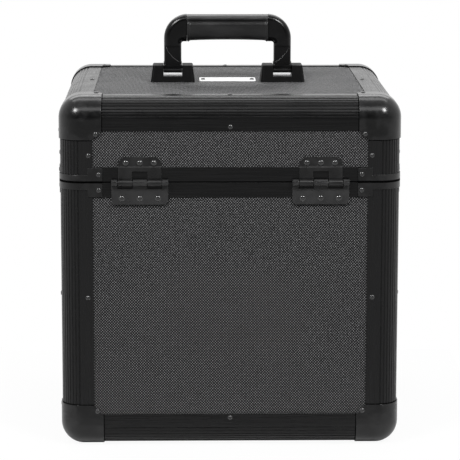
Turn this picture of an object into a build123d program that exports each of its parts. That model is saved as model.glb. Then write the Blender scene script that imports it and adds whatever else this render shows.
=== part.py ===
"""Record carrying case: laminate panels in fluted edge profiles, a hinged lid,
a fold-down handle and two key-locking draw latches. Millimetres, +Z up.
The hinge side faces -Y and the latch side +Y. The origin is the bottom centre of
the whole, hinge knuckles and latch levers counted, on the plane it rests on."""

import os
from math import sin, cos, radians
from build123d import *

os.makedirs("parts", exist_ok=True)

# Overall sizes, over the edge profiles
WIDTH = 350.0
DEPTH = 340.0
HEIGHT = 365.0
BASE_HEIGHT = 277.7
LID_GAP = 0.6

# Edge profiles: a quarter round with a flat flange on each face
EDGE_RADIUS = 22.5
EDGE_FLANGE = 11.5
SKIN = 1.2
INNER_LEG = 1.5
INNER_GRIP = 8.8
SLOT_UNDER = 5.3
FLUTE_COUNT = 9
FLUTE_PITCH = 9.0
FLUTE_RADIUS = 0.7

# Panels and lining
PANEL = 6.0
PANEL_PLAY = 0.5
LINING = 4.0
LINING_GAP = 0.3

# Rim profiles at the mouth
RIM_HEIGHT = 15.0
RIM_WEB = 6.0
TONGUE_INSET = 3.2
TONGUE = 1.6
TONGUE_HEIGHT = 3.0
GROOVE_PLAY = 0.8

# Corner caps and rim corner brackets
CAP_PROUD = 1.2
CAP_EAR = 9.4
CAP_EAR_CUT = 10.0
CAP_EAR_BEND = 3.0
SEAT_GAP = 0.1
BRACKET_PROUD = 1.0
BRACKET_STRIP = 7.2
BRACKET_EAR = 14.4
EAR_BACK = 5.0
EAR_OUT = 10.0

# Rivets
RIVET_HEAD = 2.7
HINGE_RIVET_HEAD = 3.1
RIVET_RISE = 1.1
RIVET_SHANK = 1.5
RIVET_GRIP = 4.0
RIVET_PLAY = 0.05
RIVET_HOLE = 1.2
RIVET_BULGE = 0.25
EAR_RIVET_OUT = 3.3
BRACKET_RIVET_OUT = 6.2
BRACKET_RIVET_DROP = 7.8
ROW_RIVET_IN = 4.1
LID_RIVET_RISE = 2.5

# Hinges
HINGE_X = 92.7
LEAF = 1.6
PIN_RADIUS = 2.0
RUNNING_GAP = 0.05
BODY_GAP = 0.4
LOWER_HALF = 29.0
UPPER_HALF = 22.0
WINDOW_HALF = 7.0
KNUCKLE_GAP = 1.1
CURL_SEAM = 0.9
CURL_SEAM_RISE = 1.3
CURL_SEAM_DEPTH = 1.2
LOWER_DROP = 22.8
LOWER_TOP = 6.2
UPPER_RISE = 26.3
WINDOW_TOP = 11.6
UPPER_CUT = 5.5
LEDGE_CUT = 1.1
LOWER_CUT = 3.0
LOWER_RIVET_PITCH = 18.5
UPPER_RIVET_PITCH = 14.3
LOWER_RIVET_INSET = 6.4
UPPER_RIVET_INSET = 6.4

# Handle
HANDLE_WIDTH = 137.5
HANDLE_RISE = 71.0
LEG_WIDTH = 18.8
LEG_DEPTH = 12.0
YOKE_DEPTH = 17.0
YOKE_START = 37.0
BAIL_CORNER = 26.0
BAIL_EDGE = 6.0
BAIL_INNER_CORNER = 2.5
GRIP_LENGTH = 88.0
GRIP_HEIGHT = 29.4
GRIP_DEPTH = 23.0
GRIP_CORNER = 7.0
GRIP_ARCH = 2.6
CORE_HEIGHT = 16.0
CORE_DEPTH = 12.0
PIVOT_RISE = 13.6
PIVOT_RADIUS = 2.0
BARREL_RADIUS = 6.4
BARREL_OUT = 0.45
NOTCH_PLAY = 0.8
NOTCH_RISE = 4.6
FOOT_HALF = 23.8
FOOT_TOP_HALF = 21.6
FOOT_DEPTH = 40.0
FOOT_TOP_DEPTH = 29.0
FOOT_RISE = 17.8
FOOT_CORNER = 2.4
FOOT_EDGE = 1.6
STRAP = 1.2
STRAP_LENGTH = 30.0

# Nameplate
NAMEPLATE_LENGTH = 61.0
NAMEPLATE_DEPTH = 36.0
NAMEPLATE = 1.2
NAMEPLATE_CORNER = 3.0
NAMEPLATE_FIXING = 26.5

# Draw latches, measured outward from the latch face and up from the split
LATCH_X = 94.0
PLATE = 1.5
PLATE_HALF = 20.0
PLATE_TOP = 6.0
PLATE_DROP = 64.0
PLATE_RIVET_INSET = 3.4
PLATE_CORNER = 3.0
EAR_SHEET = 1.5
LEVER_HALF = 12.0
LEVER_PLAY = 0.3
LEVER_SHEET = 1.4
LEVER_PIN_OUT = 5.2
LEVER_PIN_DROP = 13.0
LEVER_PIN = 1.5
LEVER_PIN_HEAD = 2.4
LEVER_BOSS = 3.0
CLAW_PIN_OUT = 8.7
CLAW_PIN_DROP = 20.0
CLAW_PIN = 1.2
CLAW_BARREL = 2.6
LEVER_FACE_OUT = 13.5
LEVER_FACE_TOP = 26.0
LEVER_DROP = 58.0
LEVER_GRIP_HALF = 16.0
LEVER_GRIP_TOP = 36.0
LEVER_HEEL = 4.2
LIP = 4.0
CLAW_HALF = 8.0
CLAW_SHEET = 1.5
CLAW_RISE = 14.5
CLAW_HOOK = 2.5
KEEPER_HALF = 12.0
KEEPER_TOP = 24.0
KEEPER_BOTTOM = 3.0
KEEPER_RIVET_INSET = 4.2
CATCH_BOTTOM = 10.0
CATCH_OUT = 5.0
CATCH_TOP = 12.4
LOCK_DROP = 46.0
LOCK_RADIUS = 5.5
LOCK_WALL = 1.2
LOCK_PROUD = 0.8
KEY_SLOT = 1.2

# Worked out from the sizes above
EDGE_WIDTH = EDGE_RADIUS + EDGE_FLANGE
SLOT_START = EDGE_RADIUS - SLOT_UNDER
INNER_REACH = SLOT_START + INNER_GRIP
WALL = SKIN + PANEL
INSIDE = WALL + INNER_LEG
BOTTOM = CAP_PROUD
TOP = BOTTOM + HEIGHT
SPLIT = BOTTOM + BASE_HEIGHT + LID_GAP / 2
BASE_RIM = SPLIT - LID_GAP / 2
LID_RIM = SPLIT + LID_GAP / 2
FLANGE_MIDDLE = EDGE_RADIUS + EDGE_FLANGE / 2
CAP_REACH = EDGE_WIDTH + CAP_EAR
EAR_RIVET = EDGE_WIDTH + EAR_RIVET_OUT
ROW_RIVET = EDGE_WIDTH - ROW_RIVET_IN
EAR_START = EDGE_WIDTH - EAR_BACK
EAR_END = EDGE_WIDTH + EAR_OUT
BRACKET_RIVET = EDGE_WIDTH + BRACKET_RIVET_OUT
LINING_FACE = INSIDE + LINING_GAP
KNUCKLE = PIN_RADIUS + RUNNING_GAP + LEAF
PIN_OUT = KNUCKLE + BODY_GAP
REAR_OUT = PIN_OUT + KNUCKLE
FRONT_OUT = LEVER_FACE_OUT + LIP
ORIGIN_SHIFT = Location((0, (REAR_OUT - FRONT_OUT) / 2, 0))
HALF_X = WIDTH / 2
HALF_Y = DEPTH / 2
SIDES = {"left": -1, "right": 1}
ENDS = {"rear": -1, "front": 1}
AXES = (Axis.X, Axis.Y, Axis.Z)
CORNERS = {f"{end}_{side}": (SIDES[side], ENDS[end]) for end in ENDS for side in SIDES}


def save(part, name):
    """Bring one finished piece to the shared origin and write it to its own file."""
    placed = part.moved(ORIGIN_SHIFT)
    placed.label = name
    export_step(placed, f"parts/{name}.step")


def inward_plane(corner, first, second):
    """A plane at a corner line whose X and Y both point into the case."""
    first, second = Vector(*first), Vector(*second)
    return Plane(origin=corner, x_dir=first, z_dir=first.cross(second))


def corner_plane(side_x, end_y, level, up):
    """A plane at one corner of the case: X and Y point in, Z points up or down."""
    first, second = (-side_x, 0, 0), (0, -end_y, 0)
    if side_x * end_y != up:
        first, second = second, first
    return inward_plane((side_x * HALF_X, end_y * HALF_Y, level), first, second)


def face_block(sign, across, outward, upward, mode=Mode.ADD):
    """A block on the rear (-1) or front (+1) face, from its three spans."""
    spans = (across, outward, upward)
    size = [high - low for low, high in spans]
    x, out, up = [(low + high) / 2 for low, high in spans]
    with Locations((x, sign * (HALF_Y + out), SPLIT + up)):
        Box(*size, mode=mode)


def around(middle, half):
    """The span of one half-width on both sides of a middle."""
    return (middle - half, middle + half)


def beside(middle, side, near, far):
    """The span between two distances on one side of a middle."""
    return tuple(sorted((middle + side * near, middle + side * far)))


def side_plane(sign, x):
    """A plane across the case at x: X runs out of the face, Y up from the split."""
    return Plane(origin=(x, sign * HALF_Y, SPLIT), x_dir=(0, sign, 0), z_dir=(sign, 0, 0))


def cross_rod(sign, across, out, up, radius, mode=Mode.ADD):
    """A round rod along X in front of the rear or front face."""
    low, high = across
    with BuildSketch(side_plane(sign, (low + high) / 2)) as end:
        with Locations((out, up)):
            Circle(radius)
    extrude(end.sketch, amount=(high - low) / 2, both=True, mode=mode)


# ---------------------------------------------------------------- sections

# Edge profile: quarter round and flanges outside, panel slots and legs inside.
with BuildSketch() as edge_section:
    with BuildLine():
        outer_turn = ThreePointArc(
            (EDGE_RADIUS, 0),
            (EDGE_RADIUS * (1 - cos(radians(45))), EDGE_RADIUS * (1 - sin(radians(45)))),
            (0, EDGE_RADIUS),
        )
        Polyline(
            outer_turn @ 1,
            (0, EDGE_WIDTH),
            (SKIN, EDGE_WIDTH),
            (SKIN, SLOT_START),
            (WALL, SLOT_START),
            (WALL, INNER_REACH),
            (INSIDE, INNER_REACH),
            (INSIDE, INSIDE),
            (INNER_REACH, INSIDE),
            (INNER_REACH, WALL),
            (SLOT_START, WALL),
            (SLOT_START, SKIN),
            (EDGE_WIDTH, SKIN),
            (EDGE_WIDTH, 0),
            outer_turn @ 0,
        )
    make_face()
    flute_span = (FLUTE_COUNT - 1) * FLUTE_PITCH
    with Locations((EDGE_RADIUS, EDGE_RADIUS)):
        with PolarLocations(EDGE_RADIUS, FLUTE_COUNT, 225 - flute_span / 2, flute_span, endpoint=True):
            Circle(FLUTE_RADIUS, mode=Mode.SUBTRACT)

# The profile's outer shape alone, grown by the seat gap, which caps fit over.
with BuildSketch() as edge_seat:
    with Locations((EDGE_WIDTH / 2, EDGE_WIDTH / 2)):
        Rectangle(EDGE_WIDTH + 2 * SEAT_GAP, EDGE_WIDTH + 2 * SEAT_GAP)
    fillet(edge_seat.vertices().sort_by(Axis.X)[:2].sort_by(Axis.Y)[0], EDGE_RADIUS + SEAT_GAP)


def rim_section(has_tongue):
    """Rim profile: X runs into the case, Y runs up to the rim's meeting face."""
    with BuildSketch() as section:
        with Locations((0, -RIM_HEIGHT)):
            Rectangle(INSIDE, RIM_HEIGHT, align=(Align.MIN, Align.MIN))
        with Locations((SKIN, -RIM_HEIGHT)):
            Rectangle(PANEL, RIM_HEIGHT - RIM_WEB, align=(Align.MIN, Align.MIN), mode=Mode.SUBTRACT)
        if has_tongue:
            with Locations((TONGUE_INSET, 0)):
                Rectangle(TONGUE, TONGUE_HEIGHT, align=(Align.MIN, Align.MIN))
        else:
            with Locations((TONGUE_INSET - GROOVE_PLAY, 0)):
                Rectangle(
                    TONGUE + 2 * GROOVE_PLAY,
                    TONGUE_HEIGHT + GROOVE_PLAY,
                    align=(Align.MIN, Align.MAX),
                    mode=Mode.SUBTRACT,
                )
    return section.sketch


# ---------------------------------------------------------------- rivets


def pop_rivet(head_radius):
    """One pop rivet, standing on the XY plane, head up, with its blind centre hole."""
    with BuildPart() as rivet:
        with BuildSketch(Plane.XZ):
            with BuildLine():
                dome = SagittaArc((head_radius, 0), (RIVET_HOLE, RIVET_RISE), -RIVET_BULGE)
                Polyline(
                    dome @ 1,
                    (RIVET_HOLE, RIVET_RISE / 2),
                    (0, RIVET_RISE / 2),
                    (0, -RIVET_GRIP),
                    (RIVET_SHANK, -RIVET_GRIP),
                    (RIVET_SHANK, 0),
                    dome @ 0,
                )
            make_face()
        revolve(axis=Axis.Z)
    return rivet.part


rivets = {radius: pop_rivet(radius) for radius in (RIVET_HEAD, HINGE_RIVET_HEAD)}
rivet_places = {"base": [], "lid": []}


def place_rivets(body, face, points, level=0.0, head=RIVET_HEAD):
    """Note rivets of a body at points on one face plane, a level outside it."""
    for across, up in points:
        rivet_places[body].append((face.location * Location((across, up, level)), head))


def drilled(part, body):
    """The part with a hole for each rivet of its body that passes through it."""
    limits = part.bounding_box()
    with BuildPart() as result:
        add(part)
        for place, _ in rivet_places[body]:
            point = place.position
            near = all(
                low - RIVET_GRIP < value < high + RIVET_GRIP
                for low, value, high in zip(limits.min, point, limits.max)
            )
            if near:
                with Locations(place):
                    Cylinder(
                        RIVET_SHANK + RIVET_PLAY,
                        2 * (RIVET_GRIP + RIVET_PLAY),
                        mode=Mode.SUBTRACT,
                    )
    return result.part


# Face planes: X across, Y up (or towards the latch side on top), Z outward.
FACES = {
    "rear": Plane(origin=(0, -HALF_Y, 0), x_dir=(1, 0, 0), z_dir=(0, -1, 0)),
    "front": Plane(origin=(0, HALF_Y, 0), x_dir=(-1, 0, 0), z_dir=(0, 1, 0)),
    "left": Plane(origin=(-HALF_X, 0, 0), x_dir=(0, -1, 0), z_dir=(-1, 0, 0)),
    "right": Plane(origin=(HALF_X, 0, 0), x_dir=(0, 1, 0), z_dir=(1, 0, 0)),
}
TOP_FACE = Plane(origin=(0, 0, TOP), x_dir=(1, 0, 0), z_dir=(0, 0, 1))
REACH = {"rear": HALF_X, "front": HALF_X, "left": HALF_Y, "right": HALF_Y}

for name, face in FACES.items():
    reach = REACH[name]
    base_middle = (BOTTOM + EAR_RIVET + BASE_RIM) / 2
    lid_middle = (TOP - EAR_RIVET + LID_RIM) / 2 + LID_RIVET_RISE
    flange, row = reach - FLANGE_MIDDLE, reach - ROW_RIVET
    place_rivets("base", face, [(-flange, base_middle), (flange, base_middle), (0, BOTTOM + ROW_RIVET)])
    place_rivets("lid", face, [(-row, lid_middle), (row, lid_middle), (0, TOP - ROW_RIVET)])
    for sign in (-1, 1):
        ear = sign * (reach - EAR_RIVET)
        place_rivets("base", face, [(ear, BOTTOM + EAR_RIVET)], CAP_PROUD)
        place_rivets("lid", face, [(ear, TOP - EAR_RIVET)], CAP_PROUD)
        strap = sign * (reach - BRACKET_RIVET)
        place_rivets("base", face, [(strap, BASE_RIM - BRACKET_RIVET_DROP)], BRACKET_PROUD)
        place_rivets("lid", face, [(strap, LID_RIM + BRACKET_RIVET_DROP)], BRACKET_PROUD)

top_x, top_y = HALF_X - FLANGE_MIDDLE, HALF_Y - FLANGE_MIDDLE
place_rivets("lid", TOP_FACE, [(-top_x, 0), (top_x, 0), (0, -top_y), (0, top_y)])
for side_x, end_y in CORNERS.values():
    ear = (side_x * (HALF_X - EAR_RIVET), end_y * (HALF_Y - EAR_RIVET))
    place_rivets("lid", TOP_FACE, [ear], CAP_PROUD)

lower_level = SPLIT - LOWER_DROP + LOWER_RIVET_INSET
upper_level = SPLIT + UPPER_RISE - UPPER_RIVET_INSET
keeper_level = SPLIT + KEEPER_TOP - KEEPER_RIVET_INSET
for sign in (-1, 1):
    middle = sign * HINGE_X
    lower_row = [(middle + k * LOWER_RIVET_PITCH, lower_level) for k in (-1, 0, 1)]
    upper_row = [(middle + k * UPPER_RIVET_PITCH, upper_level) for k in (-1, 0, 1)]
    place_rivets("base", FACES["rear"], lower_row, LEAF, HINGE_RIVET_HEAD)
    place_rivets("lid", FACES["rear"], upper_row, LEAF - SKIN, HINGE_RIVET_HEAD)
    keeper_spread = KEEPER_HALF - KEEPER_RIVET_INSET
    keeper_row = [(sign * LATCH_X + k * keeper_spread, keeper_level) for k in (-1, 1)]
    place_rivets("lid", FACES["front"], keeper_row, PLATE)
    plate_spread = PLATE_HALF - PLATE_RIVET_INSET
    for drop in (PLATE_TOP + PLATE_RIVET_INSET, PLATE_DROP - PLATE_RIVET_INSET):
        plate_row = [(sign * LATCH_X + k * plate_spread, SPLIT - drop) for k in (-1, 1)]
        place_rivets("base", FACES["front"], plate_row, PLATE)

name_row = [(-NAMEPLATE_FIXING, 0), (NAMEPLATE_FIXING, 0)]
place_rivets("lid", TOP_FACE, name_row, NAMEPLATE - SKIN)


# ---------------------------------------------------------------- panels


def wall_panel(end, low, high):
    """An upright panel on one face, from one height to another."""
    half = REACH[end] - SLOT_START - PANEL_PLAY
    with BuildPart(FACES[end].offset(-SKIN)) as panel:
        with Locations((0, (low + high) / 2, 0)):
            Box(2 * half, high - low, PANEL, align=(Align.CENTER, Align.CENTER, Align.MAX))
    return panel.part


def flat_panel(outer_level, inward):
    """The floor or top panel, from its outer face inward."""
    edge = 2 * (SLOT_START + PANEL_PLAY)
    with BuildPart() as panel:
        with BuildSketch(Plane.XY.offset(outer_level)):
            Rectangle(WIDTH - edge, DEPTH - edge)
        extrude(amount=inward * PANEL)
    return panel.part


panel_bottom = BOTTOM + SLOT_START + PANEL_PLAY
panel_top = TOP - SLOT_START - PANEL_PLAY
for name in FACES:
    base_panel = wall_panel(name, panel_bottom, BASE_RIM - RIM_WEB - PANEL_PLAY)
    save(drilled(base_panel, "base"), f"base_{name}_panel")
    lid_panel = wall_panel(name, LID_RIM + RIM_WEB + PANEL_PLAY, panel_top)
    save(drilled(lid_panel, "lid"), f"lid_{name}_panel")
save(flat_panel(BOTTOM + SKIN, 1), "base_floor_panel")
save(drilled(flat_panel(TOP - SKIN, -1), "lid"), "lid_top_panel")


# ---------------------------------------------------------------- profiles


def bar(section, plane, length):
    """A straight length of a section, centred on its plane."""
    with BuildPart() as length_of_bar:
        with BuildSketch(plane):
            add(section)
        extrude(amount=length / 2, both=True)
    return length_of_bar.part


bar_x = WIDTH - 2 * EDGE_WIDTH
bar_y = DEPTH - 2 * EDGE_WIDTH
for body, level, up in (("base", BOTTOM, 1), ("lid", TOP, -1)):
    for end, sign in ENDS.items():
        plane = inward_plane((0, sign * HALF_Y, level), (0, -sign, 0), (0, 0, up))
        save(drilled(bar(edge_section.sketch, plane, bar_x), body), f"{body}_{end}_edge")
    for side, sign in SIDES.items():
        plane = inward_plane((sign * HALF_X, 0, level), (-sign, 0, 0), (0, 0, up))
        save(drilled(bar(edge_section.sketch, plane, bar_y), body), f"{body}_{side}_edge")

for body, low, high in (
    ("base", BOTTOM + EDGE_WIDTH, BASE_RIM),
    ("lid", LID_RIM, TOP - EDGE_WIDTH),
):
    uprights = []
    for side_x, end_y in CORNERS.values():
        corner = (side_x * HALF_X, end_y * HALF_Y, (low + high) / 2)
        plane = inward_plane(corner, (-side_x, 0, 0), (0, -end_y, 0))
        uprights.append(drilled(bar(edge_section.sketch, plane, high - low), body))
    save(Compound(children=uprights), f"{body}_uprights")

for body, level, up, has_tongue in (("base", BASE_RIM, 1, True), ("lid", LID_RIM, -1, False)):
    section = rim_section(has_tongue)
    for end, sign in ENDS.items():
        plane = inward_plane((0, sign * HALF_Y, level), (0, -sign, 0), (0, 0, up))
        save(drilled(bar(section, plane, bar_x), body), f"{body}_{end}_rim")
    for side, sign in SIDES.items():
        plane = inward_plane((sign * HALF_X, 0, level), (-sign, 0, 0), (0, 0, up))
        save(drilled(bar(section, plane, bar_y), body), f"{body}_{side}_rim")


# ---------------------------------------------------------------- corner caps


def rounded_corner(inset, radius):
    """A block along +X, +Y and +Z whose corner and three meeting edges are round."""
    size = CAP_REACH + CAP_PROUD
    with BuildPart() as block:
        with Locations((inset, inset, inset)):
            Box(size, size, size, align=(Align.MIN, Align.MIN, Align.MIN))
        meeting = [block.edges().filter_by(axis).sort_by_distance((0, 0, 0))[0] for axis in AXES]
        fillet(meeting, radius)
    return block.part


cap_outside = rounded_corner(-CAP_PROUD, EDGE_RADIUS + CAP_PROUD)
cap_hollow = rounded_corner(SKIN, EDGE_RADIUS - SKIN)

# One three-way cap: its skin lies over three profiles and its ears on the panels.
with BuildPart() as cap:
    add(cap_outside)
    add(cap_hollow, mode=Mode.SUBTRACT)
    for along, first in ((Axis.X, Axis.Y), (Axis.Y, Axis.Z), (Axis.Z, Axis.X)):
        start = along.direction * (EDGE_WIDTH - SEAT_GAP)
        with BuildSketch(Plane(origin=start, x_dir=first.direction, z_dir=along.direction)):
            add(edge_seat.sketch)
        extrude(amount=CAP_REACH, mode=Mode.SUBTRACT)
        under_skin = Plane(along.direction * SKIN, first.direction, along.direction)
        with BuildSketch(under_skin):
            with Locations((SLOT_START, SLOT_START)):
                Rectangle(CAP_REACH, CAP_REACH, align=(Align.MIN, Align.MIN))
        extrude(amount=PANEL, mode=Mode.SUBTRACT)
    for axis in AXES:
        first, second = (other.direction for other in AXES if other is not axis)
        corner = (first + second) * CAP_REACH
        bends = [corner - side * CAP_EAR_CUT for side in (first, second)]
        chamfer(cap.edges().filter_by(axis).sort_by_distance(corner)[0], CAP_EAR_CUT)
        fillet([cap.edges().filter_by(axis).sort_by_distance(bend)[0] for bend in bends], CAP_EAR_BEND)

for corner, (side_x, end_y) in CORNERS.items():
    for body, level, up in (("base", BOTTOM, 1), ("lid", TOP, -1)):
        with BuildPart() as corner_cap:
            with Locations(corner_plane(side_x, end_y, level, up)):
                add(cap.part)
        save(drilled(corner_cap.part, body), f"{body}_{corner}_cap")


# ---------------------------------------------------------------- rim corner brackets


def corner_band(plane, inner, outer, reach):
    """A band round a corner, between two offsets, reaching along both faces."""
    far_turn = EDGE_RADIUS * (1 - cos(radians(45)))
    with BuildSketch(plane) as band:
        with BuildLine():
            outer_middle = far_turn - outer * cos(radians(45))
            inner_middle = far_turn - inner * cos(radians(45))
            turn = ThreePointArc((EDGE_RADIUS, -outer), (outer_middle, outer_middle), (-outer, EDGE_RADIUS))
            back = ThreePointArc((-inner, EDGE_RADIUS), (inner_middle, inner_middle), (EDGE_RADIUS, -inner))
            Polyline(turn @ 1, (-outer, reach), (-inner, reach), back @ 0)
            Polyline(back @ 1, (reach, -inner), (reach, -outer), turn @ 0)
        make_face()
    return band.sketch


for body, level, up in (("base", BASE_RIM, -1), ("lid", LID_RIM, 1)):
    brackets = []
    for side_x, end_y in CORNERS.values():
        plane = corner_plane(side_x, end_y, level, up)
        with BuildPart() as bracket:
            band = corner_band(plane, SEAT_GAP, BRACKET_PROUD, EAR_END)
            extrude(band, amount=BRACKET_EAR, dir=plane.z_dir)
            with BuildSketch(plane.offset(BRACKET_STRIP)):
                with Locations((-EAR_START, -EAR_START)):
                    Rectangle(2 * EAR_START, 2 * EAR_START, align=(Align.MIN, Align.MIN))
            extrude(amount=BRACKET_EAR, mode=Mode.SUBTRACT)
        brackets.append(drilled(bracket.part, body))
    save(Compound(children=brackets), f"{body}_rim_brackets")


# ---------------------------------------------------------------- foam lining


def cap_room(outer_level, up):
    """The room inside the round corner caps, which the foam is trimmed to."""
    inset = SKIN + SEAT_GAP
    with BuildPart() as room:
        with BuildSketch(Plane.XY.offset(outer_level + up * inset)):
            RectangleRounded(WIDTH - 2 * inset, DEPTH - 2 * inset, EDGE_RADIUS - inset)
        extrude(amount=up * (BASE_RIM - BOTTOM))
        flat_faces = room.faces().filter_by(Axis.Z).sort_by(Axis.Z)
        outer_face = flat_faces[0 if up > 0 else -1]
        fillet(outer_face.edges(), EDGE_RADIUS - inset)
    return room.part


def lining(outer_level, rim_level, up):
    """Five foam sheets: one flat sheet and four walls standing on it."""
    room = cap_room(outer_level, up)
    flat_half_x = HALF_X - LINING_FACE
    flat_half_y = HALF_Y - LINING_FACE
    flat_face = outer_level + up * LINING_FACE
    flat_inner = flat_face + up * LINING
    wall_height = abs(rim_level - flat_inner) - LINING_GAP
    sheets = []
    with BuildPart() as flat:
        with BuildSketch(Plane.XY.offset(flat_face)):
            Rectangle(2 * flat_half_x, 2 * flat_half_y)
        extrude(amount=up * LINING)
        add(room, mode=Mode.INTERSECT)
    sheets.append(flat.part)
    walls = (
        [(0, sign * (flat_half_y - LINING / 2), 2 * flat_half_x, LINING) for sign in (-1, 1)]
        + [(sign * (flat_half_x - LINING / 2), 0, LINING, 2 * (flat_half_y - LINING)) for sign in (-1, 1)]
    )
    for x, y, size_x, size_y in walls:
        with BuildPart() as wall:
            with BuildSketch(Plane.XY.offset(flat_inner)):
                with Locations((x, y)):
                    Rectangle(size_x, size_y)
            extrude(amount=up * wall_height)
            add(room, mode=Mode.INTERSECT)
        sheets.append(wall.part)
    return Compound(children=sheets)


save(lining(BOTTOM, BASE_RIM, 1), "base_lining")
save(lining(TOP, LID_RIM, -1), "lid_lining")


# ---------------------------------------------------------------- hinges

rim_edge = LID_GAP / 2 + RIM_HEIGHT

lower_leaves, upper_leaves, hinge_pins = [], [], []
for sign in SIDES.values():
    middle = sign * HINGE_X
    arms = [beside(middle, s, WINDOW_HALF + KNUCKLE_GAP, UPPER_HALF) for s in (-1, 1)]
    ends = [beside(middle, s, UPPER_HALF + KNUCKLE_GAP, LOWER_HALF) for s in (-1, 1)]
    lower_spans = ends + [around(middle, WINDOW_HALF)]
    whole_lower = around(middle, LOWER_HALF)
    whole_upper = around(middle, UPPER_HALF)

    with BuildPart() as lower_leaf:
        face_block(-1, whole_lower, (0, LEAF), (-LOWER_DROP, -LOWER_TOP))
        face_block(-1, whole_lower, (-SKIN, 0), (-LOWER_DROP, -rim_edge))
        foot = lower_leaf.edges().filter_by(Axis.Y).group_by(Axis.Z)[0]
        chamfer(foot, LOWER_CUT)
        for span in lower_spans:
            face_block(-1, span, (0, LEAF), (-LOWER_TOP, -LEAF / 2))
            cross_rod(-1, span, PIN_OUT, 0, KNUCKLE)
        seam_out = (REAR_OUT - CURL_SEAM_DEPTH, REAR_OUT)
        face_block(-1, whole_lower, seam_out, around(CURL_SEAM_RISE, CURL_SEAM / 2), Mode.SUBTRACT)
        cross_rod(-1, whole_lower, PIN_OUT, 0, PIN_RADIUS + RUNNING_GAP, Mode.SUBTRACT)
    lower_leaves.append(drilled(lower_leaf.part, "base"))

    with BuildPart() as upper_leaf:
        face_block(-1, whole_upper, (-SKIN, LEAF - SKIN), (rim_edge, UPPER_RISE))
        head = upper_leaf.edges().filter_by(Axis.Y).group_by(Axis.Z)[-1]
        chamfer(head, UPPER_CUT)
        face_block(-1, whole_upper, (0, LEAF), (WINDOW_TOP, rim_edge))
        face_block(-1, whole_upper, (-SKIN, LEAF), (rim_edge, rim_edge + SKIN))
        ledge = (middle, -HALF_Y - LEAF, SPLIT + rim_edge + SKIN)
        chamfer(upper_leaf.edges().filter_by(Axis.X).sort_by_distance(ledge)[0], LEDGE_CUT)
        for span in arms:
            face_block(-1, span, (0, LEAF), (LEAF / 2, WINDOW_TOP))
            cross_rod(-1, span, PIN_OUT, 0, KNUCKLE)
        cross_rod(-1, whole_lower, PIN_OUT, 0, PIN_RADIUS + RUNNING_GAP, Mode.SUBTRACT)
    upper_leaves.append(drilled(upper_leaf.part, "lid"))

    with BuildPart() as hinge_pin:
        cross_rod(-1, whole_lower, PIN_OUT, 0, PIN_RADIUS)
    hinge_pins.append(hinge_pin.part)
save(Compound(children=lower_leaves), "hinge_lower_leaves")
save(Compound(children=upper_leaves), "hinge_upper_leaves")
save(Compound(children=hinge_pins), "hinge_pins")


# ---------------------------------------------------------------- handle

LEG_X = (HANDLE_WIDTH - LEG_WIDTH) / 2
PIVOT_Z = TOP + PIVOT_RISE
SEAT_Z = TOP - SKIN
grip_middle = TOP + HANDLE_RISE - GRIP_HEIGHT / 2
pivot_axis = [(sign * LEG_X, 0, PIVOT_Z) for sign in (-1, 1)]
notch_half = LEG_WIDTH / 2 + NOTCH_PLAY

handle_brackets, straps, pivots = [], [], []
for x, y, z in pivot_axis:
    with BuildPart() as foot:
        with BuildSketch(Plane((x, 0, SEAT_Z))):
            RectangleRounded(2 * FOOT_HALF, FOOT_DEPTH, FOOT_CORNER)
        with BuildSketch(Plane((x, 0, SEAT_Z + FOOT_RISE))):
            RectangleRounded(2 * FOOT_TOP_HALF, FOOT_TOP_DEPTH, FOOT_CORNER)
        loft()
        fillet(foot.faces().sort_by(Axis.Z)[-1].edges(), FOOT_EDGE)
        with BuildSketch(Plane((x, 0, TOP + NOTCH_RISE))):
            Rectangle(2 * notch_half, FOOT_DEPTH)
        extrude(amount=FOOT_RISE, mode=Mode.SUBTRACT)
        with BuildSketch(Plane.YZ.offset(x)):
            with Locations((y, z)):
                Circle(PIVOT_RADIUS + RUNNING_GAP)
        extrude(amount=FOOT_HALF, both=True, mode=Mode.SUBTRACT)
    handle_brackets.append(foot.part)

    with BuildPart() as strap:
        with BuildSketch(Plane((x, 0, TOP + NOTCH_RISE))):
            Rectangle(2 * notch_half, STRAP_LENGTH)
        extrude(amount=STRAP)
    straps.append(strap.part)

    with BuildPart() as pivot:
        with BuildSketch(Plane.YZ.offset(x)):
            with Locations((y, z)):
                Circle(PIVOT_RADIUS)
        extrude(amount=FOOT_TOP_HALF - FOOT_EDGE, both=True)
    pivots.append(pivot.part)
save(Compound(children=handle_brackets), "handle_brackets")
save(Compound(children=straps), "handle_straps")
save(Compound(children=pivots), "handle_pins")

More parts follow.
